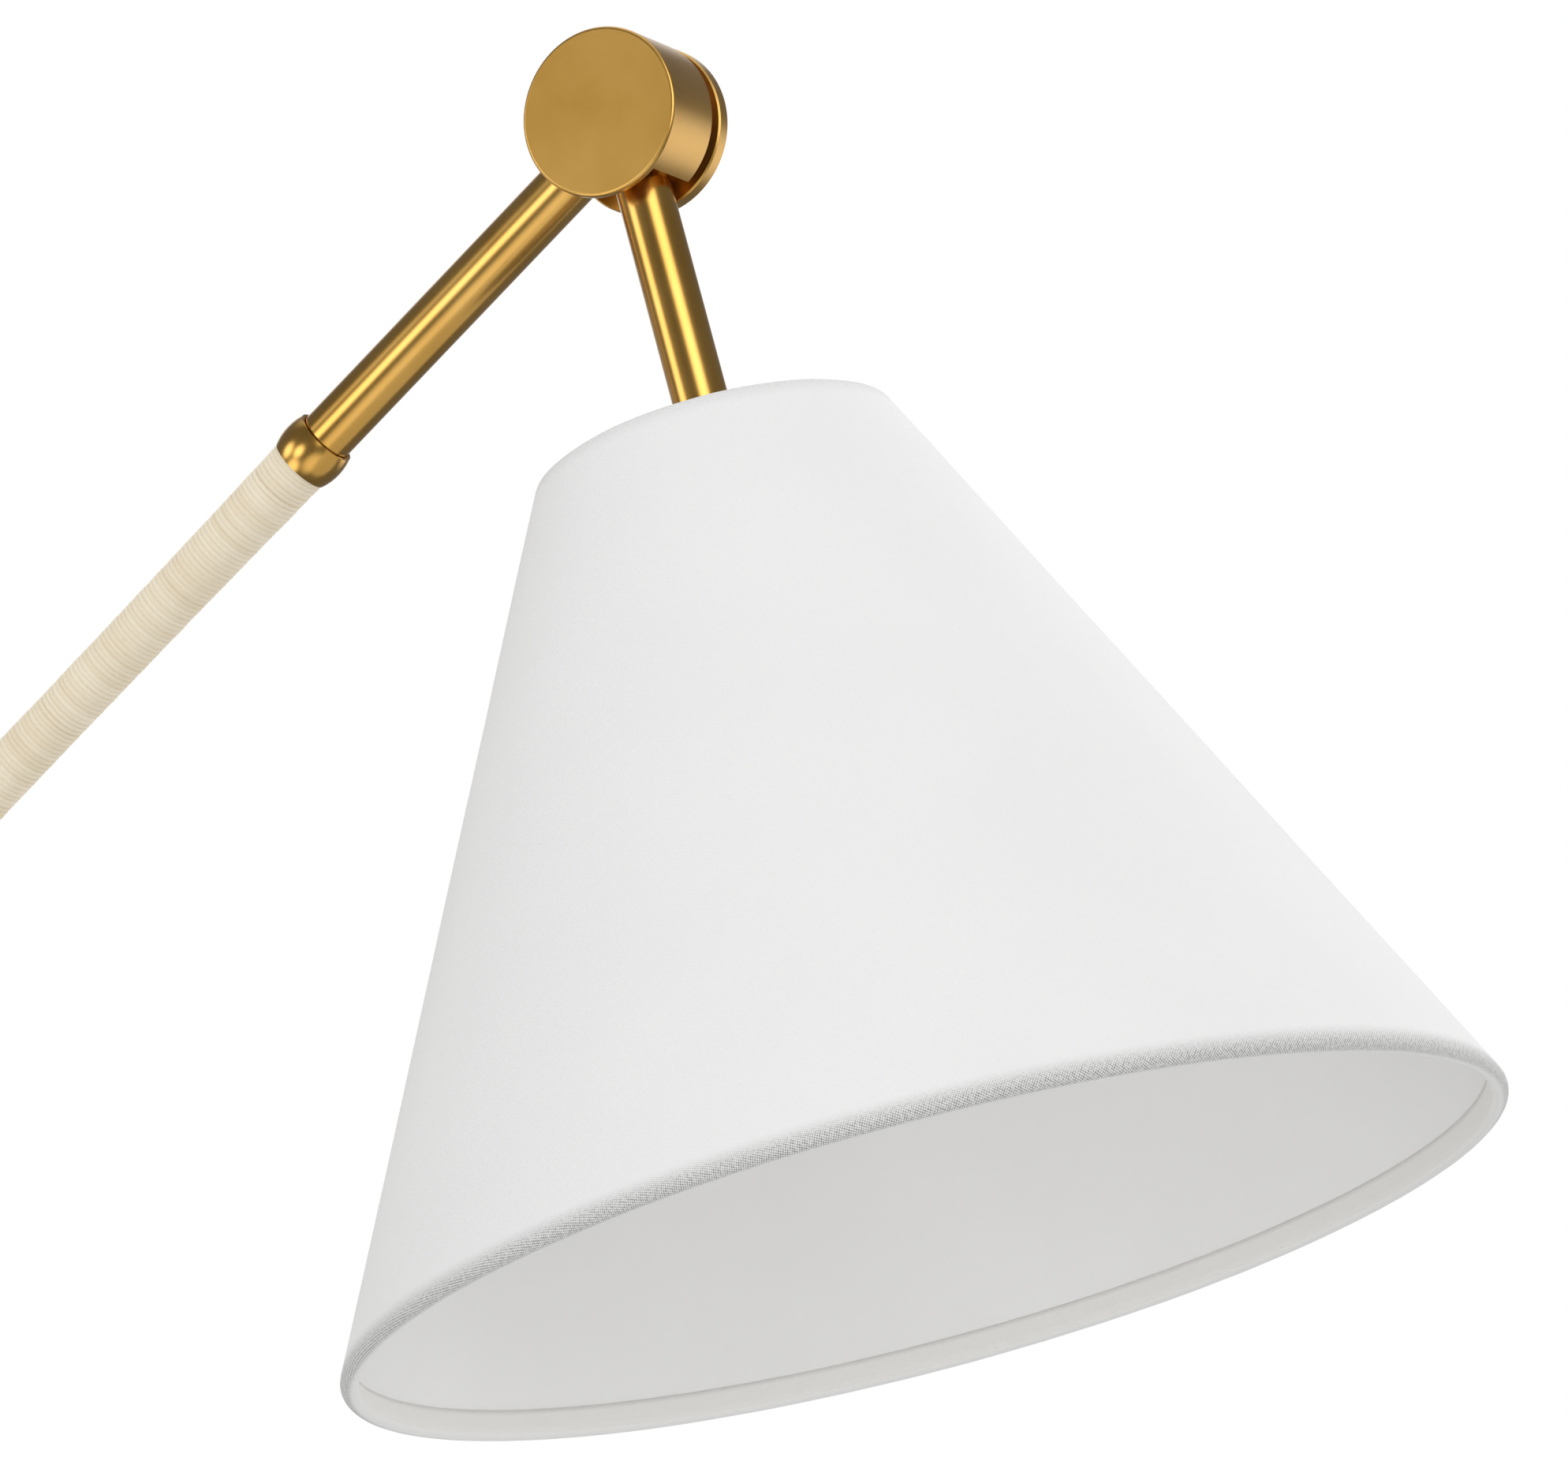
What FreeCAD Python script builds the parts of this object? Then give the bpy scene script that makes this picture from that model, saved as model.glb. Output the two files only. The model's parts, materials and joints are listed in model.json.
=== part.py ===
"""Swing arm wall sconce: wall canopy, vertical swivel, pitching arm, tilting shade.

Frame: origin on the wall, at the centre of the canopy's open back. +Z up, +X to the right,
and the lamp reaches out along -Y. Millimetres.

Each tube is built along its own +Z, starting at the joint it grows from, and then turned
about X into place. Both knuckles have their axis along X.
"""
import FreeCAD
import Part
import os
from math import atan, cos, pi, radians, sin

Vector = FreeCAD.Vector
ZERO = Vector(0, 0, 0)
AXIS_X = Vector(1, 0, 0)
AXIS_Y = Vector(0, 1, 0)
AXIS_Z = Vector(0, 0, 1)

# ---- driving dimensions -------------------------------------------------------------------

TUBE_R = 6.0
TUBE_WALL = 1.0
FLAT_GAP = 0.1            # between flat faces that turn against each other
BODY_GAP = 0.4            # between other faces of two moving bodies
PIVOT_CLEARANCE = 0.05    # radial, shaft in its hole

# knuckles
KNUCKLE_R = 18.35
CUP_FACE_X = -12.2
CUP_RIM_X = 4.8
CUP_PLATE = 1.6
CUP_WALL = 2.3
CUP_BOSS_R = 6.0
CUP_BOSS_END_X = -7.3
DISC_FRONT_X = 8.0
DISC_BACK_X = 12.0
EDGE_ROUND = 0.7
HUB_R = 8.5
HUB_HALF_LENGTH = 6.6
NECK_R = 13.0
STUD_R = 3.0
POCKET_R = 7.2
POCKET_FLOOR_X = 4.6
TUBE_START = 13.5         # from a knuckle's axis to the tube's end
SPIGOT_LENGTH = 11.0      # how far a spigot reaches into its tube
SPIGOT_BORE_R = 2.6

# arm
ARM_LENGTH = 330.0        # axis to axis
ARM_RISE = 39.7           # degrees above horizontal at rest
COLLAR_FROM_ELBOW = 96.1
COLLAR_LENGTH = 8.4
COLLAR_END_R = 6.9
COLLAR_BELLY_R = 7.6
GRIP_LENGTH = 160.0
GRIP_END_R = 6.7
GRIP_WAIST_R = 6.15
CORE_WALL = 1.0
WIRE_R = 1.6

# wall side
CANOPY_R = 60.0
CANOPY_DEPTH = 18.0
CANOPY_WALL = 1.2
POST_R = 7.0
POST_FOOT_R = 15.0
SWIVEL_Y = -50.0
SWIVEL_R = 11.0
BASE_HALF_HEIGHT = 9.0
SLEEVE_HEIGHT = 24.0
PIN_R = 4.0
NECK_REACH = 38.0         # swivel axis to lower knuckle axis
BAR_HALF_LENGTH = 54.0
BAR_HALF_WIDTH = 10.0
BAR_RAISED_HALF = 28.0
BAR_THICKNESS = 2.0
BAR_RISE = 8.0
BOX_SCREW_SPACING = 88.9
BOX_SLOT_R = 2.3
BOX_SLOT_LENGTH = 12.0
GROUND_SCREW_X = 15.5
CANOPY_STUD_X = 24.0
CANOPY_STUD_R = 2.0
NIPPLE_R = 5.0
NIPPLE_BORE_R = 3.4
DIMMER_Z = -34.0

# shade head, measured along the stem from the elbow's axis
STEM_TILT = 16.4          # degrees from straight down, away from the wall
SHADE_TOP = 75.0
SHADE_HEIGHT = 177.5
SHADE_TOP_R = 38.0
SHADE_BOTTOM_R = 123.2
FABRIC = 0.6
LINER = 0.5
RING_WIRE_R = 1.2
TURN_IN = 6.0             # fabric glued down inside each edge
WIRE_ROOM = 0.1           # between a ring wire and the fabric rolled round it
STEM_END = 92.0
SPIDER_ARMS = 3
SPIDER_WIRE_R = 1.2
SPIDER_HUB_R = 14.0
SOCKET_R = 17.0
SOCKET_END = 150.0
SCREW_SHELL_R = 13.3      # inside, takes a 26 mm lamp cap


# ---- shared helpers -----------------------------------------------------------------------

def turned(points):
    """Solid of revolution about Z from (radius, height) corners."""
    corners = [Vector(radius, 0, height) for radius, height in points]
    wire = Part.makePolygon(corners + [corners[0]])
    return Part.Face(wire).revolve(ZERO, AXIS_Z, 360)


def turned_edges(edges):
    """Solid of revolution about Z from a closed loop of edges in the XZ plane."""
    return Part.Face(Part.Wire(edges)).revolve(ZERO, AXIS_Z, 360)


def line(start, end):
    return Part.LineSegment(Vector(start[0], 0, start[1]), Vector(end[0], 0, end[1])).toShape()


def arc(start, middle, end):
    points = [Vector(point[0], 0, point[1]) for point in (start, middle, end)]
    return Part.Arc(*points).toShape()


def dome(radius, low, side, height):
    """Round button on a flat foot; a negative side and height point it down."""
    flat = 0.12 * radius
    top = low + side + height
    shoulder = (0.72 * radius, low + side + 0.68 * height)
    return turned_edges([
        line((0, low), (radius, low)),
        line((radius, low), (radius, low + side)),
        arc((radius, low + side), shoulder, (flat, top)),
        line((flat, top), (0, top)),
        line((0, top), (0, low)),
    ])


def rod(radius, low, high):
    return Part.makeCylinder(radius, high - low, Vector(0, 0, low))


def ring(inner, outer, low, high):
    return rod(outer, low, high).cut(rod(inner, low - 1, high + 1))


def hexagon(across_flats, low, high):
    radius = across_flats / 2 / cos(radians(30))
    corners = [Vector(radius * cos(radians(60 * k)), radius * sin(radians(60 * k)), low) for k in range(7)]
    return Part.Face(Part.makePolygon(corners)).extrude(Vector(0, 0, high - low))


def box(low, high):
    size = Vector(*high) - Vector(*low)
    return Part.makeBox(size.x, size.y, size.z, Vector(*low))


def along_x(shape):
    """Lays a piece built along Z down along X."""
    moved = shape.copy()
    moved.rotate(ZERO, AXIS_Y, 90)
    return moved


def out_from_wall(shape, x=0.0, z=0.0):
    """Lays a piece built along Z down along -Y, starting at the wall."""
    moved = shape.copy()
    moved.rotate(ZERO, AXIS_X, 90)
    moved.translate(Vector(x, 0, z))
    return moved


def placed(shape, joint, turn):
    """Turns a piece about X by turn degrees and puts its own origin on a joint."""
    moved = shape.copy()
    moved.rotate(ZERO, AXIS_X, turn)
    moved.translate(joint)
    return moved


def export(shapes):
    for name, shape in shapes.items():
        shape.exportStep("parts/" + name + ".step")


# ---- knuckle ------------------------------------------------------------------------------

def sector(start, stop, low_x, high_x):
    """Wedge about X between two angles from +Z towards +Y, outside the hub's space."""
    reach = 2 * KNUCKLE_R
    steps = int(abs(stop - start) // 40) + 1
    angles = [radians(start + (stop - start) * k / steps) for k in range(steps + 1)]
    rim = [Vector(low_x, reach * sin(a), reach * cos(a)) for a in angles]
    centre = Vector(low_x, 0, 0)
    wedge = Part.Face(Part.makePolygon([centre] + rim + [centre])).extrude(Vector(high_x - low_x, 0, 0))
    return wedge.cut(along_x(rod(KNUCKLE_R - CUP_WALL - 1, low_x - 1, high_x + 1)))


def knuckle_cup(openings):
    """Shallow drum with a plain face; its wall is open where the tubes pass."""
    inner = KNUCKLE_R - CUP_WALL
    plate_x = CUP_FACE_X + CUP_PLATE
    rim_round = EDGE_ROUND * (1 - cos(radians(45)))
    profile = [
        line((0, CUP_FACE_X), (KNUCKLE_R - EDGE_ROUND, CUP_FACE_X)),
        arc(
            (KNUCKLE_R - EDGE_ROUND, CUP_FACE_X),
            (KNUCKLE_R - rim_round, CUP_FACE_X + rim_round),
            (KNUCKLE_R, CUP_FACE_X + EDGE_ROUND),
        ),
        line((KNUCKLE_R, CUP_FACE_X + EDGE_ROUND), (KNUCKLE_R, CUP_RIM_X - EDGE_ROUND / 2)),
        line((KNUCKLE_R, CUP_RIM_X - EDGE_ROUND / 2), (KNUCKLE_R - EDGE_ROUND / 2, CUP_RIM_X)),
        line((KNUCKLE_R - EDGE_ROUND / 2, CUP_RIM_X), (inner, CUP_RIM_X)),
        line((inner, CUP_RIM_X), (inner, plate_x)),
        line((inner, plate_x), (CUP_BOSS_R, plate_x)),
        line((CUP_BOSS_R, plate_x), (CUP_BOSS_R, CUP_BOSS_END_X)),
        line((CUP_BOSS_R, CUP_BOSS_END_X), (0, CUP_BOSS_END_X)),
        line((0, CUP_BOSS_END_X), (0, CUP_FACE_X)),
    ]
    cup = along_x(turned_edges(profile))
    cup = cup.cut(along_x(rod(STUD_R, plate_x, 0)))
    for start, stop in openings:
        cup = cup.cut(sector(start, stop, plate_x, CUP_RIM_X + 1))
    return cup


def knuckle_stud():
    """Pivot pin held in the cup's boss, threaded for the nut at its far end."""
    pin = rod(STUD_R, CUP_FACE_X + CUP_PLATE, DISC_BACK_X - 2)
    return along_x(pin)


def knuckle_nut():
    nut = hexagon(10.0, POCKET_FLOOR_X + 2.0, POCKET_FLOOR_X + 5.0)
    return along_x(nut.cut(rod(STUD_R, 0, DISC_BACK_X)))


def knuckle_springs():
    """Two cupped spring washers under the nut."""
    low = POCKET_FLOOR_X + FLAT_GAP
    inner = STUD_R + 0.1
    outer = POCKET_R - 0.6
    first = turned([(inner, low + 0.4), (outer, low), (outer, low + 0.5), (inner, low + 0.9)])
    second = turned([(inner, low + 0.95), (outer, low + 1.35), (outer, low + 1.85), (inner, low + 1.45)])
    return along_x(Part.makeCompound([first, second]))


def knuckle_washer():
    """Friction washer between the cup's boss and the hub."""
    low = CUP_BOSS_END_X
    high = -HUB_HALF_LENGTH - FLAT_GAP
    return along_x(ring(STUD_R + 0.1, CUP_BOSS_R + 1.5, low, high))


def knuckle_hub():
    """Hub, waist and rear disc in one, with the spigot that carries the tube along +Z."""
    soft = EDGE_ROUND
    outline = [
        (0, -HUB_HALF_LENGTH),
        (HUB_R, -HUB_HALF_LENGTH),
        (HUB_R, HUB_HALF_LENGTH),
        (NECK_R, HUB_HALF_LENGTH),
        (NECK_R, DISC_FRONT_X),
        (KNUCKLE_R - soft / 2, DISC_FRONT_X),
        (KNUCKLE_R, DISC_FRONT_X + soft / 2),
        (KNUCKLE_R, DISC_BACK_X - soft),
        (KNUCKLE_R - soft, DISC_BACK_X),
        (0, DISC_BACK_X),
    ]
    hub = along_x(turned(outline))
    spigot_r = TUBE_R - TUBE_WALL
    hub = hub.fuse(rod(spigot_r, HUB_R / 2, TUBE_START + SPIGOT_LENGTH))
    hub = hub.cut(rod(SPIGOT_BORE_R, HUB_R + 1.5, TUBE_START + SPIGOT_LENGTH + 1))
    window = box((-spigot_r - 1, -SPIGOT_BORE_R, HUB_R + 1.5), (0, SPIGOT_BORE_R, TUBE_START - 0.5))
    hub = hub.cut(window)
    hub = hub.cut(along_x(rod(POCKET_R, POCKET_FLOOR_X, DISC_BACK_X + 1)))
    return hub.cut(along_x(rod(STUD_R + PIVOT_CLEARANCE, -HUB_HALF_LENGTH - 1, DISC_BACK_X)))


def knuckle_cap():
    """Low domed plug that closes the nut's pocket."""
    plug = rod(POCKET_R, DISC_BACK_X - 1.4, DISC_BACK_X)
    dome = turned([
        (0, DISC_BACK_X),
        (POCKET_R + 1.2, DISC_BACK_X),
        (POCKET_R + 0.9, DISC_BACK_X + 0.5),
        (POCKET_R * 0.5, DISC_BACK_X + 0.9),
        (0, DISC_BACK_X + 1.0),
    ])
    return along_x(plug.fuse(dome))


def knuckle_anchor():
    """Foot on the cup's face plate with the spigot for the tube that turns with the cup."""
    plate_x = CUP_FACE_X + CUP_PLATE
    spigot_r = TUBE_R - TUBE_WALL
    inner = HUB_R + 2 * BODY_GAP
    foot = box((plate_x, -spigot_r + 0.6, inner), (0, spigot_r - 0.6, TUBE_START - 0.2))
    spigot = rod(spigot_r, inner, TUBE_START + SPIGOT_LENGTH)
    anchor = foot.fuse(spigot)
    anchor = anchor.cut(rod(SPIGOT_BORE_R, inner + 1.2, TUBE_START + SPIGOT_LENGTH + 1))
    window = box((0, -SPIGOT_BORE_R, inner + 1.2), (spigot_r + 1, SPIGOT_BORE_R, TUBE_START - 0.6))
    return anchor.cut(window)


def knuckle_cup_side(prefix, joint, turn, openings):
    """The pieces that turn with the cup."""
    pieces = {
        "cup": knuckle_cup(openings),
        "stud": knuckle_stud(),
        "nut": knuckle_nut(),
        "spring_washers": knuckle_springs(),
        "anchor": knuckle_anchor(),
    }
    return {prefix + "_" + name: placed(piece, joint, turn) for name, piece in pieces.items()}


def knuckle_hub_side(prefix, joint, turn):
    """The pieces that turn with the hub and its rear disc."""
    pieces = {
        "hub": knuckle_hub(),
        "friction_washer": knuckle_washer(),
        "cap": knuckle_cap(),
    }
    return {prefix + "_" + name: placed(piece, joint, turn) for name, piece in pieces.items()}


# ---- wall side ----------------------------------------------------------------------------

def crossbar():
    """Strap with a raised middle and a slot near each end for the wall box's screws."""
    top = BAR_RISE + BAR_THICKNESS
    foot_x = BAR_RAISED_HALF + BAR_RISE
    half = [
        (BAR_RAISED_HALF, BAR_RISE), (foot_x, 0), (BAR_HALF_LENGTH, 0),
        (BAR_HALF_LENGTH, BAR_THICKNESS), (foot_x + 1, BAR_THICKNESS), (BAR_RAISED_HALF + 1, top),
    ]
    outline = half + [(-x, depth) for x, depth in reversed(half)]
    corners = [Vector(x, -depth, -BAR_HALF_WIDTH) for x, depth in outline]
    wire = Part.makePolygon(corners + [corners[0]])
    bar = Part.Face(wire).extrude(Vector(0, 0, 2 * BAR_HALF_WIDTH))
    half_run = BOX_SLOT_LENGTH / 2 - BOX_SLOT_R
    for side in (-1, 1):
        centre_x = side * BOX_SCREW_SPACING / 2
        slot = box((centre_x - half_run, -top, -BOX_SLOT_R), (centre_x + half_run, 1, BOX_SLOT_R))
        for end in (-1, 1):
            slot = slot.fuse(out_from_wall(rod(BOX_SLOT_R, -1, top), centre_x + end * half_run))
        bar = bar.cut(slot)
        bar = bar.cut(out_from_wall(rod(CANOPY_STUD_R, 0, top + 1), side * CANOPY_STUD_X))
    bar = bar.cut(out_from_wall(rod(1.6, -1, top + 1), GROUND_SCREW_X))
    return bar.cut(out_from_wall(rod(NIPPLE_R, 0, top + 1)))


def ground_screw():
    """Slotted screw for the earth wire, in the strap's raised middle."""
    face = BAR_RISE + BAR_THICKNESS
    screw = rod(3.2, face, face + 1.8).fuse(rod(1.6, BAR_RISE, face))
    screw = screw.cut(box((-4, -0.4, face + 1), (4, 0.4, face + 2)))
    return out_from_wall(screw, GROUND_SCREW_X)


def canopy_studs():
    stud = rod(CANOPY_STUD_R, BAR_RISE, CANOPY_DEPTH + 6)
    return Part.makeCompound([out_from_wall(stud, side * CANOPY_STUD_X) for side in (-1, 1)])


def canopy_outline(inset):
    """Side of the canopy: a short upright edge, a hollow curve and a flat front."""
    radius = CANOPY_R - inset
    front = CANOPY_DEPTH - inset
    shoulder = CANOPY_R - 12 - inset
    bead = 1.5
    return [
        line((0, 0), (radius, 0)),
        line((radius, 0), (radius, 4 - inset / 2)),
        line((radius, 4 - inset / 2), (radius - bead, 5 - inset / 2)),
        arc(
            (radius - bead, 5 - inset / 2),
            (shoulder + 3.4, front - 6.2),
            (shoulder, front - bead),
        ),
        line((shoulder, front - bead), (shoulder - bead, front)),
        line((shoulder - bead, front), (0, front)),
        line((0, front), (0, 0)),
    ]


def canopy():
    """Spun brass cover, open at the wall, pierced for the post, the studs and the dimmer."""
    shell = turned_edges(canopy_outline(0)).cut(turned_edges(canopy_outline(CANOPY_WALL)))
    shell = out_from_wall(shell)
    shell = shell.cut(out_from_wall(rod(NIPPLE_R + 0.2, 0, CANOPY_DEPTH + 1)))
    shell = shell.cut(out_from_wall(rod(3.7, 0, CANOPY_DEPTH + 1), 0, DIMMER_Z))
    for side in (-1, 1):
        shell = shell.cut(out_from_wall(rod(CANOPY_STUD_R + 0.3, 0, CANOPY_DEPTH + 1), side * CANOPY_STUD_X))
    return shell


def canopy_nuts():
    """Two round cap nuts on the studs."""
    low = CANOPY_DEPTH
    nut = dome(4.4, low, 4.0, 4.2).fuse(rod(5.4, low, low + 1.6))
    nut = nut.cut(rod(CANOPY_STUD_R, low - 1, low + 6.0))
    return Part.makeCompound([out_from_wall(nut, side * CANOPY_STUD_X) for side in (-1, 1)])


def nipple():
    """Hollow threaded tube that pulls the post and the crossbar together."""
    return out_from_wall(ring(NIPPLE_BORE_R, NIPPLE_R, 2.0, CANOPY_DEPTH + 12))


def nipple_locknut():
    nut = hexagon(15.0, BAR_RISE - 4.0, BAR_RISE)
    return out_from_wall(nut.cut(rod(NIPPLE_R, 0, BAR_RISE + 1)))


def post():
    """Flanged post from the canopy to the swivel, bored for the wires."""
    reach = -SWIVEL_Y - SWIVEL_R
    low = CANOPY_DEPTH
    body = turned_edges([
        line((0, low), (POST_FOOT_R, low)),
        line((POST_FOOT_R, low), (POST_FOOT_R, low + 1.5)),
        arc((POST_FOOT_R, low + 1.5), (POST_R + 2.6, low + 3.9), (POST_R, low + 9)),
        line((POST_R, low + 9), (POST_R, reach + 3)),
        line((POST_R, reach + 3), (0, reach + 3)),
        line((0, reach + 3), (0, low)),
    ])
    body = body.cut(rod(NIPPLE_R, low - 1, low + 12.5))
    body = body.cut(rod(2.6, low, reach + 4))
    return out_from_wall(body).cut(upright(rod(SWIVEL_R, -20, 20)))


def upright(shape):
    """Puts a piece built about Z on the swivel's axis."""
    moved = shape.copy()
    moved.translate(Vector(0, SWIVEL_Y, 0))
    return moved


def barrel(low, high, bore):
    """Round barrel with softened ends and a bore."""
    soft = 0.8
    body = turned([
        (0, low), (SWIVEL_R - soft, low), (SWIVEL_R, low + soft),
        (SWIVEL_R, high - soft), (SWIVEL_R - soft, high), (0, high),
    ])
    return body.cut(rod(bore, low - 1, high + 1))


def swivel_base():
    """Fixed lower barrel; the pin is pressed into it."""
    return upright(barrel(-BASE_HALF_HEIGHT, BASE_HALF_HEIGHT, PIN_R))


def swivel_foot():
    """Button that closes the barrel's lower end."""
    return upright(dome(8.5, -BASE_HALF_HEIGHT, -1.0, -4.4))


def swivel_pin():
    top = sleeve_top() + 8.5
    return upright(rod(PIN_R, -BASE_HALF_HEIGHT, top))


def sleeve_low():
    return BASE_HALF_HEIGHT + 0.8


def sleeve_top():
    return sleeve_low() + SLEEVE_HEIGHT


def neck_height():
    return sleeve_low() + SLEEVE_HEIGHT / 2


def swivel_washer():
    """Friction washer between the fixed barrel and the turning sleeve."""
    return upright(ring(PIN_R + 0.1, SWIVEL_R - 1.5, BASE_HALF_HEIGHT, sleeve_low() - FLAT_GAP))


def swivel_sleeve():
    """Turning barrel with a socket for the neck tube."""
    body = upright(barrel(sleeve_low(), sleeve_top(), PIN_R + PIVOT_CLEARANCE))
    socket = Part.makeCylinder(TUBE_R, 20, Vector(0, SWIVEL_Y - 7.5, neck_height()), Vector(0, -1, 0))
    return body.cut(socket)


def swivel_springs():
    low = sleeve_top() + FLAT_GAP
    washer = turned([
        (PIN_R + 0.1, low + 0.5), (8.2, low), (8.2, low + 0.6), (PIN_R + 0.1, low + 1.1),
    ])
    return upright(washer)


def swivel_nut():
    low = sleeve_top() + 1.3
    return upright(hexagon(12.0, low, low + 3.2).cut(rod(PIN_R, low - 1, low + 5)))


def swivel_finial():
    """Domed cap screwed on the pin over the nut."""
    low = sleeve_top() + BODY_GAP
    cap = dome(10.2, low, 4.0, 7.4)
    room = rod(8.8, low - 1, low + 4.4)
    return upright(cap.cut(room).cut(rod(PIN_R, low, sleeve_top() + 8.5)))


def neck_tube():
    """Short tube from the turning sleeve to the lower knuckle."""
    start = SWIVEL_Y - 7.6
    length = NECK_REACH - TUBE_START - 7.6
    direction = Vector(0, -1, 0)
    base = Vector(0, start, neck_height())
    outer = Part.makeCylinder(TUBE_R, length, base, direction)
    inner = Part.makeCylinder(TUBE_R - TUBE_WALL, length + 2, base + Vector(0, 1, 0), direction)
    return outer.cut(inner)


# ---- dimmer -------------------------------------------------------------------------------

def dimmer_body():
    """Rotary dimmer behind the canopy's front, with its threaded bushing."""
    inside = CANOPY_DEPTH - CANOPY_WALL
    case = ring(2.6, 9.5, inside - 11, inside)
    bushing = ring(2.6, 3.5, inside - 1, CANOPY_DEPTH + 3)
    return out_from_wall(case.fuse(bushing), 0, DIMMER_Z)


def dimmer_nut():
    low = CANOPY_DEPTH
    nut = hexagon(10.0, low, low + 1.6).cut(rod(3.5, low - 1, low + 3))
    return out_from_wall(nut, 0, DIMMER_Z)


def dimmer_shaft():
    shaft = rod(2.55, CANOPY_DEPTH - 10, CANOPY_DEPTH + 11)
    return out_from_wall(shaft, 0, DIMMER_Z)


def dimmer_knob():
    """Small fluted knob; its skirt covers the bushing's nut."""
    low = CANOPY_DEPTH + BODY_GAP
    high = low + 14
    body = turned([
        (0, low), (8.0, low), (8.0, low + 2.2), (7.0, low + 3.0),
        (7.0, high - 0.9), (6.1, high), (0, high),
    ])
    body = body.cut(rod(6.4, low - 1, low + 3.2)).cut(rod(2.55, low, CANOPY_DEPTH + 11))
    flutes = 24
    for k in range(flutes):
        angle = 2 * pi * k / flutes
        groove = Part.makeCylinder(0.45, 20, Vector(7.2 * cos(angle), 7.2 * sin(angle), low + 3.4))
        body = body.cut(groove)
    return out_from_wall(body, 0, DIMMER_Z)


# ---- arm ----------------------------------------------------------------------------------

def grip_start():
    """Distance from the lower knuckle's axis to the wrapped part."""
    return ARM_LENGTH - COLLAR_FROM_ELBOW - COLLAR_LENGTH - GRIP_LENGTH


def arm_tube_lower():
    return ring(TUBE_R - TUBE_WALL, TUBE_R, TUBE_START, grip_start() - 2)


def arm_tube_upper():
    return ring(TUBE_R - TUBE_WALL, TUBE_R, grip_start() + GRIP_LENGTH + 2, ARM_LENGTH - TUBE_START)


def grip_core():
    """Inner tube under the wrapping; it reaches into both brass tubes."""
    outer = TUBE_R - TUBE_WALL
    reach = 16.0
    return ring(outer - CORE_WALL, outer, grip_start() - reach, grip_start() + GRIP_LENGTH + reach)


def grip_wrap():
    """Cord wound side by side over the core, slightly waisted."""
    low = grip_start()
    high = low + GRIP_LENGTH
    bore = TUBE_R - TUBE_WALL
    sleeve = turned_edges([
        line((bore, low), (GRIP_END_R, low)),
        arc((GRIP_END_R, low), (GRIP_WAIST_R, (low + high) / 2), (GRIP_END_R, high)),
        line((GRIP_END_R, high), (bore, high)),
        line((bore, high), (bore, low)),
    ])
    return sleeve


def collar(mouth, direction):
    """Barrel-shaped ferrule; its mouth opens round the brass tube."""
    foot = mouth - direction * COLLAR_LENGTH
    middle = (mouth + foot) / 2
    seat = foot + direction * 2
    lip = TUBE_R + 0.35
    core = TUBE_R - TUBE_WALL
    return turned_edges([
        line((core, foot), (COLLAR_END_R, foot)),
        arc((COLLAR_END_R, foot), (COLLAR_BELLY_R, middle), (COLLAR_END_R, mouth)),
        line((COLLAR_END_R, mouth), (lip, mouth)),
        line((lip, mouth), (lip, mouth - direction * 1.2)),
        line((lip, mouth - direction * 1.2), (TUBE_R, mouth - direction * 1.2)),
        line((TUBE_R, mouth - direction * 1.2), (TUBE_R, seat)),
        line((TUBE_R, seat), (core, seat)),
        line((core, seat), (core, foot)),
    ])


def arm_wire():
    start = TUBE_START + 1
    return rod(WIRE_R, start, ARM_LENGTH - start)


# ---- shade head ---------------------------------------------------------------------------

def stem_tube():
    return ring(TUBE_R - TUBE_WALL, TUBE_R, TUBE_START, STEM_END)


def stem_wire():
    return rod(WIRE_R, TUBE_START + 1, STEM_END + 14)


def stem_flange():
    """Seat collar at the stem's lower end, above the shade's spider."""
    high = STEM_END
    return turned([
        (TUBE_R, high - 6), (8.0, high - 6), (9.0, high - 5), (9.0, high), (TUBE_R, high),
    ])


def stem_nipple():
    """Hollow threaded tube inside the stem's end and the lamp holder's cap."""
    return ring(3.2, TUBE_R - TUBE_WALL, STEM_END - 10, STEM_END + 8)


def spider_hub():
    return ring(TUBE_R - TUBE_WALL, SPIDER_HUB_R, STEM_END, STEM_END + 1.5)


def skin_radius(distance):
    """Radius of the fabric's outer face at a distance along the stem."""
    share = (distance - SHADE_TOP) / SHADE_HEIGHT
    return SHADE_TOP_R + share * (SHADE_BOTTOM_R - SHADE_TOP_R)


def skin_slope():
    return atan((SHADE_BOTTOM_R - SHADE_TOP_R) / SHADE_HEIGHT)


def across(thickness):
    """A thickness measured square to the skin, turned into a change of radius."""
    return thickness / cos(skin_slope())


def edge_point(edge, inward, down, out):
    """Radius and height of a point near an edge: down the slant from it, and out from the skin."""
    slope = skin_slope()
    edge_radius = skin_radius(edge)
    radius = edge_radius + out * cos(slope) + inward * down * sin(slope)
    return radius, edge + inward * down * cos(slope) - out * sin(slope)


def ring_wire_centre(edge, inward):
    """Radius and height of a shade wire, in the roll of fabric at an edge."""
    roll = RING_WIRE_R + WIRE_ROOM + FABRIC
    return edge_point(edge, inward, roll, -roll)


def shade_ring(edge, inward):
    radius, height = ring_wire_centre(edge, inward)
    return Part.makeTorus(radius, RING_WIRE_R, Vector(0, 0, height), AXIS_Z)


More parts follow.
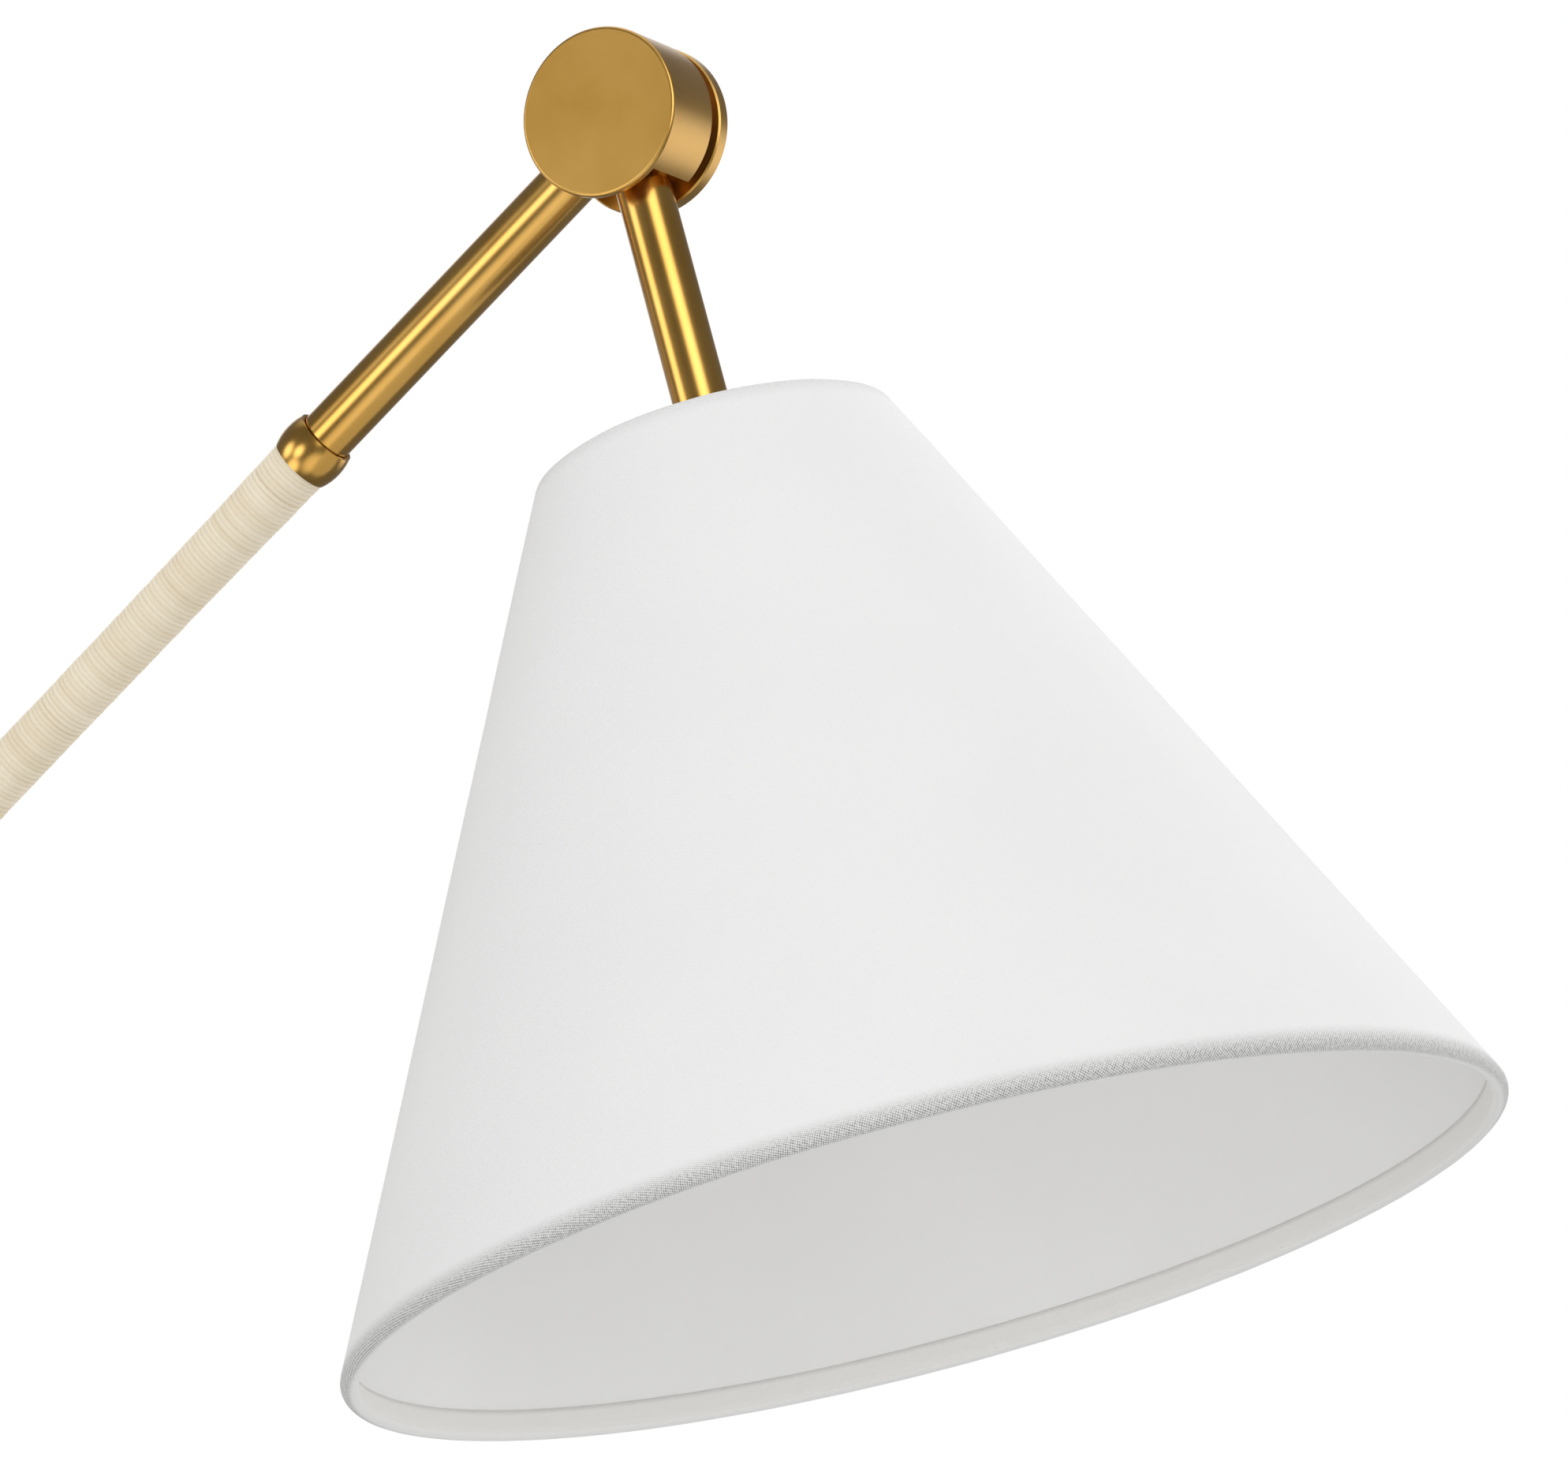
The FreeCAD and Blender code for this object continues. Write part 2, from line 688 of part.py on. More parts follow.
def spider_wires(radius, shortfall):
    """Straight wires from the spider's hub up to the shade's top ring."""
    ring_radius, ring_height = ring_wire_centre(SHADE_TOP, 1)
    start = Vector(SPIDER_HUB_R - 3, 0, STEM_END - 0.9)
    run = Vector(ring_radius, 0, ring_height) - start
    length = run.Length - RING_WIRE_R - shortfall
    wire = Part.makeCylinder(radius, length, start, run)
    wires = []
    for k in range(SPIDER_ARMS):
        turned_wire = wire.copy()
        turned_wire.rotate(ZERO, AXIS_Z, 360 * k / SPIDER_ARMS)
        wires.append(turned_wire)
    return Part.makeCompound(wires)


def spider_arms():
    return spider_wires(SPIDER_WIRE_R, WIRE_ROOM)


def rolled_edge(edge, inward, radius, glued):
    """One face of the fabric at an edge: half a turn round the wire, then the turn-in.

    Gives the edges, the point where it leaves the skin, and the free end.
    """
    roll = RING_WIRE_R + WIRE_ROOM + FABRIC
    start, tip, end = [
        edge_point(edge, inward, roll - radius * sin(radians(angle)), radius * cos(radians(angle)) - roll)
        for angle in (0, 90, 180)
    ]
    free = edge_point(edge, inward, roll + TURN_IN, glued)
    return [arc(start, tip, end), line(end, free)], start, free


def shade_skin():
    """Fabric over the cone, rolled round both ring wires and notched for the spider."""
    faces = []
    for radius, glued in (
        (RING_WIRE_R + WIRE_ROOM + FABRIC, -(2 * FABRIC + LINER)),
        (RING_WIRE_R + WIRE_ROOM, -(FABRIC + LINER)),
    ):
        top, top_start, top_free = rolled_edge(SHADE_TOP, 1, radius, glued)
        low, low_start, low_free = rolled_edge(SHADE_TOP + SHADE_HEIGHT, -1, radius, glued)
        faces.append((top + low + [line(top_start, low_start)], top_free, low_free))
    (outer, outer_top, outer_low), (inner, inner_top, inner_low) = faces
    ends = [line(outer_top, inner_top), line(outer_low, inner_low)]
    cloth = turned_edges(Part.__sortEdges__(outer + inner + ends))
    return cloth.cut(spider_wires(SPIDER_WIRE_R + 0.3, 0))


def shade_liner():
    """Sheet that the fabric is laminated to; it stops short of the ring wires."""
    stop = 2 * (RING_WIRE_R + WIRE_ROOM + FABRIC)
    low = SHADE_TOP + stop
    high = SHADE_TOP + SHADE_HEIGHT - stop
    inner = across(FABRIC + LINER)
    outer = across(FABRIC)
    return turned([
        (skin_radius(low) - inner, low),
        (skin_radius(low) - outer, low),
        (skin_radius(high) - outer, high),
        (skin_radius(high) - inner, high),
    ])


def socket_cap():
    """Domed brass cap of the lamp holder, screwed on the nipple."""
    low = STEM_END + 1.5
    high = STEM_END + 20
    shoulder = turned_edges([
        line((0, low), (8.5, low)),
        arc((8.5, low), (14.6, low + 4.4), (SOCKET_R, low + 11)),
        line((SOCKET_R, low + 11), (SOCKET_R, high)),
        line((SOCKET_R, high), (0, high)),
        line((0, high), (0, low)),
    ])
    room = turned([
        (0, low + 6.5), (8.5, low + 6.5), (SOCKET_R - 1.2, low + 12.5),
        (SOCKET_R - 1.2, high + 1), (0, high + 1),
    ])
    return shoulder.cut(room).cut(rod(TUBE_R - TUBE_WALL, low - 1, low + 8))


def socket_shell():
    """Brass outer shell with a rolled mouth."""
    low = STEM_END + 20
    body = ring(SOCKET_R - 0.8, SOCKET_R, low, SOCKET_END)
    bead = Part.makeTorus(SOCKET_R - 0.1, 0.7, Vector(0, 0, SOCKET_END - 0.8), AXIS_Z)
    return body.fuse(bead).cut(rod(SOCKET_R - 0.8, low - 1, SOCKET_END + 1))


def socket_insulator():
    return ring(SOCKET_R - 1.7, SOCKET_R - 0.8, STEM_END + 20, SOCKET_END - 1)


def socket_block():
    """Moulded block that carries the contacts; the screw shell stands on its rim."""
    low = STEM_END + 17
    block = rod(SOCKET_R - 1.8, low, low + 15)
    terminal = box((-4, -20, low - 1), (4, 20, low + 3))
    well = rod(SCREW_SHELL_R - 0.8, low + 12, low + 16)
    return block.cut(terminal).cut(rod(2.0, low - 1, low + 5)).cut(well)


def screw_shell():
    """Inner shell whose rolled thread takes the lamp's cap."""
    low = STEM_END + 32
    high = SOCKET_END - 3
    return ring(SCREW_SHELL_R, SCREW_SHELL_R + 0.5, low, high)


def centre_contact():
    low = STEM_END + 29
    return turned([(0, low), (3.5, low), (3.5, low + 0.8), (2.2, low + 2.2), (0, low + 2.4)])


# ---- assembly -----------------------------------------------------------------------------

def wall_pieces():
    return {
        "crossbar": crossbar(),
        "ground_screw": ground_screw(),
        "canopy_studs": canopy_studs(),
        "canopy": canopy(),
        "canopy_nuts": canopy_nuts(),
        "nipple": nipple(),
        "nipple_locknut": nipple_locknut(),
        "post": post(),
        "swivel_base": swivel_base(),
        "swivel_foot": swivel_foot(),
        "swivel_pin": swivel_pin(),
        "swivel_washer": swivel_washer(),
        "swivel_spring_washer": swivel_springs(),
        "swivel_nut": swivel_nut(),
        "swivel_finial": swivel_finial(),
        "dimmer_body": dimmer_body(),
        "dimmer_nut": dimmer_nut(),
        "dimmer_shaft": dimmer_shaft(),
        "dimmer_knob": dimmer_knob(),
        "swivel_sleeve": swivel_sleeve(),
        "neck_tube": neck_tube(),
    }


def arm_pieces(lower_joint, turn):
    pieces = {
        "arm_tube_lower": arm_tube_lower(),
        "arm_tube_upper": arm_tube_upper(),
        "grip_core": grip_core(),
        "grip_wrap": grip_wrap(),
        "collar_lower": collar(grip_start() - COLLAR_LENGTH, -1),
        "collar_upper": collar(ARM_LENGTH - COLLAR_FROM_ELBOW, 1),
        "arm_wire": arm_wire(),
    }
    return {name: placed(piece, lower_joint, turn) for name, piece in pieces.items()}


def head_pieces(elbow, turn):
    shade_bottom = SHADE_TOP + SHADE_HEIGHT
    pieces = {
        "stem_tube": stem_tube(),
        "stem_wire": stem_wire(),
        "stem_flange": stem_flange(),
        "stem_nipple": stem_nipple(),
        "spider_hub": spider_hub(),
        "spider_arms": spider_arms(),
        "shade_ring_top": shade_ring(SHADE_TOP, 1),
        "shade_ring_bottom": shade_ring(shade_bottom, -1),
        "shade_skin": shade_skin(),
        "shade_liner": shade_liner(),
        "socket_cap": socket_cap(),
        "socket_shell": socket_shell(),
        "socket_insulator": socket_insulator(),
        "socket_block": socket_block(),
        "screw_shell": screw_shell(),
        "centre_contact": centre_contact(),
    }
    return {name: placed(piece, elbow, turn) for name, piece in pieces.items()}


def main():
    os.makedirs("parts", exist_ok=True)
    lower_joint = Vector(0, SWIVEL_Y - NECK_REACH, neck_height())
    rise = radians(ARM_RISE)
    elbow = lower_joint + Vector(0, -ARM_LENGTH * cos(rise), ARM_LENGTH * sin(rise))
    turn_out = 90 - ARM_RISE          # +Z onto the arm, from the lower knuckle outwards
    turn_back = turn_out - 180        # +Z onto the arm, from the elbow back
    turn_neck = -90                   # +Z onto the neck, towards the wall
    turn_stem = 180 - STEM_TILT       # +Z onto the stem, downwards

    lower_openings = [(-24, 24), (-210, -84)]
    elbow_openings = [(-171, 27)]

    export(wall_pieces())
    export(knuckle_cup_side("lower", lower_joint, turn_neck, lower_openings))
    export(knuckle_hub_side("lower", lower_joint, turn_out))
    export(arm_pieces(lower_joint, turn_out))
    export(knuckle_hub_side("elbow", elbow, turn_back))
    export(knuckle_cup_side("elbow", elbow, turn_stem, elbow_openings))
    export(head_pieces(elbow, turn_stem))
    print("lower joint", lower_joint)
    print("elbow", elbow)


main()
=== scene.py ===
"""Looks of the swing arm wall sconce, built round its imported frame.

Metres. The wall is the plane Y = 0, the lamp reaches out along -Y, and +Z is up.
"""
import json
from math import cos, exp, pi, radians, sin, sqrt

import bmesh
import bpy
from mathutils import Matrix, Vector, noise


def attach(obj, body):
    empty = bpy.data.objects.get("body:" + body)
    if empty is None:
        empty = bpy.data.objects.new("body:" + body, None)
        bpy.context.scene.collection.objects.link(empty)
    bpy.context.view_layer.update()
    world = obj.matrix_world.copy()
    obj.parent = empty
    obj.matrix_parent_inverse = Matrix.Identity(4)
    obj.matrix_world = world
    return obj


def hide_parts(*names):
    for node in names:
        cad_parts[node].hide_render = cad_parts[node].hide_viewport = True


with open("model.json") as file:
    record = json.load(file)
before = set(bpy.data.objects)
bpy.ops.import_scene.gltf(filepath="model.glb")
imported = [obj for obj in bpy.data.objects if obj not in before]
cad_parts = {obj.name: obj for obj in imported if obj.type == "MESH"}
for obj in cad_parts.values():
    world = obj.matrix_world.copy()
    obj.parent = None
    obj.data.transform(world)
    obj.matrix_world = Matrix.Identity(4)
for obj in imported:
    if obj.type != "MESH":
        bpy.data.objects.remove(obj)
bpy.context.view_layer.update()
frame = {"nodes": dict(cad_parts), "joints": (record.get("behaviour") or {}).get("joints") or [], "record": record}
nodes = frame["nodes"]
scene = bpy.context.scene

MM = 0.001


def joint_place(name):
    return Vector(next(joint["pos_m"] for joint in frame["joints"] if joint["name"] == name))


def mount_place(name):
    return Vector(next(mount["pos_m"] for mount in frame["record"]["mounts"] if mount["name"] == name))


ELBOW = joint_place("shade_tilt")
LOWER_JOINT = joint_place("arm_pitch")
SWIVEL = joint_place("wall_swing")
ARM = (ELBOW - LOWER_JOINT).normalized()                       # up the arm
STEM = (mount_place("lamp_cap_socket") - ELBOW).normalized()   # down the stem, into the shade
AXIS_X = Vector((1, 0, 0))
AXIS_Y = Vector((0, 1, 0))
AXIS_Z = Vector((0, 0, 1))


# ---- camera -------------------------------------------------------------------------------

CAMERA_AZIMUTH = radians(-61.7)
CAMERA_ELEVATION = radians(-8.4)
CAMERA_DISTANCE = 1.70       # from the elbow
VIEW_WIDTH = 0.3327          # that the picture spans at the elbow
ELBOW_LEFT = 0.0335          # of the picture's centre
ELBOW_UP = 0.1294
SENSOR_WIDTH = 36.0


def make_camera():
    back = Vector((
        sin(CAMERA_AZIMUTH) * cos(CAMERA_ELEVATION),
        -cos(CAMERA_AZIMUTH) * cos(CAMERA_ELEVATION),
        sin(CAMERA_ELEVATION),
    ))
    right = Vector((cos(CAMERA_AZIMUTH), sin(CAMERA_AZIMUTH), 0))
    up = back.cross(right)
    data = bpy.data.cameras.new("camera")
    data.sensor_width = SENSOR_WIDTH
    data.lens = SENSOR_WIDTH * CAMERA_DISTANCE / VIEW_WIDTH
    camera = bpy.data.objects.new("camera", data)
    scene.collection.objects.link(camera)
    place = ELBOW + back * CAMERA_DISTANCE + right * ELBOW_LEFT - up * ELBOW_UP
    turn = Matrix((right, up, back)).transposed()
    camera.matrix_world = Matrix.Translation(place) @ turn.to_4x4()
    scene.camera = camera


# ---- node trees ---------------------------------------------------------------------------

class Graph:
    """Short calls that build a node tree."""

    def __init__(self, tree):
        self.tree = tree

    def put(self, socket, value):
        if isinstance(value, bpy.types.NodeSocket):
            self.tree.links.new(value, socket)
        elif isinstance(value, (tuple, Vector)) and len(value) == 3 and len(socket.default_value) == 4:
            socket.default_value = (*value, 1)
        else:
            socket.default_value = value

    def add(self, kind, inputs, output=0, **settings):
        node = self.tree.nodes.new("ShaderNode" + kind)
        for name, value in settings.items():
            setattr(node, name, value)
        for key, value in inputs.items():
            self.put(node.inputs[key], value)
        return node.outputs[output]

    def object_coords(self):
        return self.add("TexCoord", {}, "Object")

    def uv_coords(self):
        return self.add("TexCoord", {}, "UV")

    def mapping(self, vector, **parts):
        return self.add("Mapping", {"Vector": vector, **parts})

    def noise(self, vector, scale, detail=2.0, rough=0.5):
        return self.add("TexNoise", {"Vector": vector, "Scale": scale, "Detail": detail, "Roughness": rough})

    def math(self, operation, first, second=0.0, clamp=False):
        return self.add("Math", {0: first, 1: second}, operation=operation, use_clamp=clamp)

    def blend(self, first, first_share, second, second_share):
        """Two values added up by their shares."""
        parts = self.math("MULTIPLY", first, first_share), self.math("MULTIPLY", second, second_share)
        return self.math("ADD", *parts)

    def range(self, value, low, high, to_low, to_high, smooth=False):
        sockets = {"Value": value, "From Min": low, "From Max": high, "To Min": to_low, "To Max": to_high}
        return self.add("MapRange", sockets, interpolation_type="SMOOTHSTEP" if smooth else "LINEAR")

    def mix(self, share, first, second):
        return self.add("Mix", {0: share, 6: first, 7: second}, 2, data_type="RGBA")

    def ramp(self, value, colours, low=0.3, high=0.7):
        """From the first colour to the second as the value goes from low to high."""
        return self.mix(self.range(value, low, high, 0.0, 1.0), *colours)

    def split(self, vector, output):
        return self.add("SeparateXYZ", {0: vector}, output)

    def join(self, x, y, z):
        return self.add("CombineXYZ", {0: x, 1: y, 2: z})

    def bump(self, height, distance, strength=1.0):
        return self.add("Bump", {"Height": height, "Distance": distance, "Strength": strength})


class Finish(Graph):
    """A material's node tree, with a Principled shader at its end."""

    def __init__(self, name):
        self.material = bpy.data.materials.new(name)
        self.material.use_nodes = True
        super().__init__(self.material.node_tree)
        self.shader = self.tree.nodes["Principled BSDF"]

    def set(self, name, value):
        self.put(self.shader.inputs[name], value)


def along_axis(graph, axis, across_scale, along_scale):
    """Object coordinates stretched along an axis, for brush lines that run that way."""
    turn = AXIS_Z.rotation_difference(axis).inverted().to_euler()
    turned = graph.mapping(graph.object_coords(), Rotation=Vector(turn))
    return graph.mapping(turned, Scale=Vector((across_scale, across_scale, along_scale)))


def around_axis(graph, centre, axis):
    """(distance from an axis, angle about it, height) of the shaded point."""
    moved = graph.mapping(graph.object_coords(), Location=-centre)
    turn = AXIS_Z.rotation_difference(axis).inverted().to_euler()
    turned = graph.mapping(moved, Rotation=Vector(turn))
    x = graph.split(turned, "X")
    y = graph.split(turned, "Y")
    squares = graph.math("ADD", graph.math("MULTIPLY", x, x), graph.math("MULTIPLY", y, y))
    radius = graph.math("SQRT", squares)
    return radius, graph.math("ARCTAN2", y, x), graph.split(turned, "Z")


# ---- studio -------------------------------------------------------------------------------

CENTRE = Vector((0, -0.33, 0.10))
FLOOR_HEIGHT = -2.2
FLOOR_HALF = 7.0
FLOOR_PAINT = ((0.74, 0.74, 0.73), (0.80, 0.80, 0.79))
WHITE = (1, 1, 1)
BACKDROP = 1.0               # brightness of the plain white behind the lamp
ROOM_LIGHT = 0.80            # that matt surfaces are lit by, from all round
SOFTBOXES = (
    # name, direction from the object, distance, width, height, watts
    ("left_box", (-0.80, 0.55, 0.05), 1.7, 0.7, 1.0, 3.0),
    ("low_box", (-0.75, -0.45, -0.50), 1.8, 1.4, 1.4, 5.0),
    ("front_box", (-0.62, -0.63, 0.48), 1.8, 0.8, 0.9, 4.5),
    ("right_box", (0.87, -0.47, 0.12), 1.8, 1.1, 1.7, 10),
    ("top_box", (0.2, -0.25, 1.0), 1.9, 1.2, 1.2, 5),
)
MIRRORED_BASE = 0.17         # what polished parts mirror between the bright panels below
PANEL_CORE = 0.10            # share of a panel's reach over which it is fully bright
MIRRORED_PANELS = (
    # direction, brightness, angle at which it has faded out
    ((-0.95, 0.29, -0.14), 2.6, 17),
    ((-0.66, 0.74, 0.10), 2.3, 18),
    ((-0.63, -0.58, 0.51), 2.4, 25),
    ((-0.55, -0.28, -0.79), 1.0, 32),
    ((-0.74, -0.66, 0.10), 2.2, 20),
    ((-0.32, -0.93, 0.15), 1.8, 22),
    ((-0.65, 0.50, -0.56), 1.8, 22),
    ((0.85, -0.48, -0.18), 1.1, 25),
    ((0.80, 0.55, 0.25), 0.9, 30),
    ((0.10, 0.95, -0.25), 0.5, 28),
    ((0.10, 0.10, 0.99), 0.9, 44),
)


def make_softbox(name, direction, distance, width, height, watts):
    data = bpy.data.lights.new(name, "AREA")
    data.shape = "RECTANGLE"
    data.size = width
    data.size_y = height
    data.energy = watts
    light = bpy.data.objects.new(name, data)
    towards = Vector(direction).normalized()
    light.location = CENTRE + towards * distance
    light.rotation_mode = "QUATERNION"
    light.rotation_quaternion = towards.to_track_quat("Z", "Y")
    light.visible_camera = False
    light.visible_glossy = False
    scene.collection.objects.link(light)


def mirrored_light(graph):
    """Brightness that a mirror-like surface sees: soft round panels over a dim room."""
    coords = graph.add("TexCoord", {}, "Generated")
    total = MIRRORED_BASE
    for direction, brightness, fade in MIRRORED_PANELS:
        sockets = {0: coords, 1: Vector(direction).normalized()}
        facing = graph.add("VectorMath", sockets, "Value", operation="DOT_PRODUCT")
        edge = cos(radians(fade))
        core = cos(radians(fade * PANEL_CORE))
        panel = graph.range(facing, edge, core, 0.0, brightness, smooth=True)
        total = graph.math("ADD", panel, total)
    return total


def make_world():
    """Even light from all round, panels in reflections, and a white backdrop behind the lamp."""
    world = bpy.data.worlds.new("studio")
    world.use_nodes = True
    world.cycles.sampling_method = "NONE"
    graph = Graph(world.node_tree)
    shown = graph.add("Background", {"Color": WHITE, "Strength": ROOM_LIGHT})
    for ray, strength in (("Is Glossy Ray", mirrored_light(graph)), ("Is Camera Ray", BACKDROP)):
        seen = graph.add("Background", {"Color": WHITE, "Strength": strength})
        shown = graph.add("MixShader", {0: graph.add("LightPath", {}, ray), 1: shown, 2: seen})
    graph.put(graph.tree.nodes["World Output"].inputs["Surface"], shown)
    scene.world = world


def make_floor():
    mesh = bpy.data.meshes.new("floor")
    ways = ((-1, -1), (1, -1), (1, 1), (-1, 1))
    corners = [(x * FLOOR_HALF, y * FLOOR_HALF, FLOOR_HEIGHT) for x, y in ways]
    mesh.from_pydata(corners, [], [(0, 1, 2, 3)])
    floor = bpy.data.objects.new("floor", mesh)
    floor.visible_glossy = False
    scene.collection.objects.link(floor)
    graph = Finish("floor_paint")
    tone = graph.noise(graph.object_coords(), 3.0, 3.0)
    graph.set("Base Color", graph.ramp(tone, FLOOR_PAINT))
    graph.set("Roughness", 0.9)
    floor.data.materials.append(graph.material)


# ---- materials ----------------------------------------------------------------------------
# A noise's scale is how many of its lumps go into a metre. Colours come in pairs, dark and pale.

BRASS = ((0.68, 0.375, 0.070), (0.76, 0.445, 0.105))
BRASS_SPECK = (0.40, 0.21, 0.05)
ZINC = ((0.38, 0.39, 0.40), (0.60, 0.60, 0.58))
POWDER_COAT = ((0.70, 0.69, 0.66), (0.80, 0.79, 0.77))
LINEN = ((0.775, 0.775, 0.775), (0.83, 0.828, 0.825))
# the same linen, painted lighter where it is turned in: painted light
LINEN_TURNED_IN_LIT = (0.905, 0.895, 0.872)
# dark colour painted into the weave's gaps along the rolled edges: painted shade
LINEN_GAP_SHADE = (0.30, 0.297, 0.29)
STYRENE = ((0.86, 0.857, 0.85), (0.89, 0.888, 0.885))
COTTON = ((0.71, 0.60, 0.42), (0.87, 0.79, 0.64))
INSULATION = ((0.50, 0.42, 0.25), (0.60, 0.52, 0.34))
FIBRE = ((0.03, 0.028, 0.025), (0.06, 0.055, 0.05))
BLACK = ((0.012, 0.012, 0.012), (0.025, 0.025, 0.025))
CERAMIC = ((0.70, 0.67, 0.61), (0.80, 0.78, 0.73))
CARD = ((0.20, 0.14, 0.08), (0.30, 0.22, 0.13))

TOOL_LINES = 5200.0          # lines a metre that brushing or turning leaves
BRUSH_RUN = 90.0             # breaks a metre along a brush line
TURN_RUN = 0.6               # breaks a radian along a turned line
KNUCKLE_ROUGHNESS = 0.34
TUBE_ROUGHNESS = 0.23
WALL_ROUGHNESS = 0.30
NECK_ROUGHNESS = 0.28
CONTACT_ROUGHNESS = 0.24
SHELL_ROUGHNESS = 0.26

YARN_PITCH = 0.62 * MM
RIM_SHADE_REACH = 6.0 * MM        # how far from a wire the painted shade along a rolled edge reaches
# strength of the painted shade along the top and bottom rolled edges
TOP_RIM_SHADE = 0.35
BOTTOM_RIM_SHADE = 0.9


def finish_brass(graph, lines, roughness):
    """Lacquered brass: fine tool lines, a cloudy hand-rubbed tone and a few darker specks."""
    coords = graph.object_coords()
    cloud = graph.noise(coords, 38.0, 4.0, 0.55)
    specks = graph.noise(coords, 700.0, 2.0, 0.5)
    colour = graph.ramp(graph.blend(cloud, 0.92, lines, 0.08), BRASS, 0.35, 0.65)
    speck_share = graph.range(specks, 0.72, 0.82, 0.0, 0.08)
    graph.set("Base Color", graph.mix(speck_share, colour, BRASS_SPECK))
    graph.set("Metallic", 1.0)
    worn = graph.blend(cloud, 0.07, lines, 0.05)
    graph.set("Roughness", graph.math("ADD", worn, roughness - 0.06))
    graph.set("Coat Weight", 0.6)
    graph.set("Coat Roughness", 0.22)
    graph.set("Normal", graph.bump(lines, 0.0006 * MM, 0.2))
    return graph.material


def brushed_brass(name, axis, roughness):
    graph = Finish(name)
    lines = graph.noise(along_axis(graph, axis, TOOL_LINES, BRUSH_RUN), 1.0, 2.0, 0.6)
    return finish_brass(graph, lines, roughness)


def turned_brass(name, centre, axis, roughness):
    """Brass with the fine rings that a lathe leaves."""
    graph = Finish(name)
    radius, angle, height = around_axis(graph, centre, axis)
    rings = graph.join(
        graph.math("MULTIPLY", radius, TOOL_LINES),
        graph.math("MULTIPLY", angle, TURN_RUN),
        graph.math("MULTIPLY", height, TOOL_LINES),
    )
    lines = graph.noise(rings, 1.0, 2.0, 0.6)
    return finish_brass(graph, lines, roughness)


def zinc_steel():
    """Zinc plated steel: faint flakes of different brightness under a haze."""
    graph = Finish("zinc_steel")
    coords = graph.object_coords()
    flakes = graph.add("TexVoronoi", {"Vector": coords, "Scale": 420.0}, "Color")
    haze = graph.noise(coords, 60.0, 4.0)
    tone = graph.blend(graph.split(flakes, "X"), 0.35, haze, 0.65)
    graph.set("Base Color", graph.ramp(tone, ZINC, 0.25, 0.75))
    graph.set("Metallic", 1.0)
    graph.set("Roughness", graph.range(tone, 0.2, 0.8, 0.30, 0.50))
    graph.set("Normal", graph.bump(haze, 0.02 * MM, 0.5))
    return graph.material


def powder_wire():
    """White powder coat with its slight orange peel."""
    graph = Finish("shade_wire")
    coords = graph.object_coords()
    peel = graph.noise(coords, 1400.0, 2.0)
    haze = graph.noise(coords, 80.0, 3.0)
    graph.set("Base Color", graph.ramp(haze, POWDER_COAT))
    graph.set("Roughness", graph.range(peel, 0.3, 0.7, 0.38, 0.52))
    graph.set("Normal", graph.bump(peel, 0.03 * MM, 0.8))
    return graph.material


def plain_plastic(name, colours, roughness, grain=700.0):
    """Moulded plastic, card or glaze: fine grain over a faint cloudy tone."""
    graph = Finish(name)
    coords = graph.object_coords()
    cloud = graph.noise(coords, 70.0, 3.0)
    fine = graph.noise(coords, grain, 3.0, 0.6)
    graph.set("Base Color", graph.ramp(graph.blend(cloud, 0.6, fine, 0.4), colours))
    graph.set("Roughness", graph.range(fine, 0.3, 0.7, roughness - 0.08, roughness + 0.08))
    graph.set("Normal", graph.bump(fine, 0.02 * MM, 0.7))
    return graph.material


def weave(graph, coords):
    """(height of a plain weave, slubs in its yarns) over coordinates in metres."""
    per_thread = pi / YARN_PITCH
    drift = graph.noise(graph.mapping(coords, Scale=Vector((60.0, 60.0, 1.0))), 1.0, 3.0)
    wander = graph.math("MULTIPLY", graph.math("SUBTRACT", drift, 0.5), 1.1)
    x = graph.math("ADD", graph.math("MULTIPLY", graph.split(coords, "X"), per_thread), wander)
    y = graph.math("ADD", graph.math("MULTIPLY", graph.split(coords, "Y"), per_thread), wander)
    over = graph.math("MULTIPLY", graph.math("SINE", x), graph.math("SINE", y))
    beside = graph.math("MULTIPLY", graph.math("COSINE", x), graph.math("COSINE", y))
    threads = graph.math("MAXIMUM", graph.math("ABSOLUTE", over), graph.math("ABSOLUTE", beside))
    slub_x = graph.noise(graph.mapping(coords, Scale=Vector((1100.0, 45.0, 1.0))), 1.0, 2.0)
    slub_y = graph.noise(graph.mapping(coords, Scale=Vector((45.0, 1100.0, 1.0))), 1.0, 2.0)
    return threads, graph.math("MAXIMUM", slub_x, slub_y)


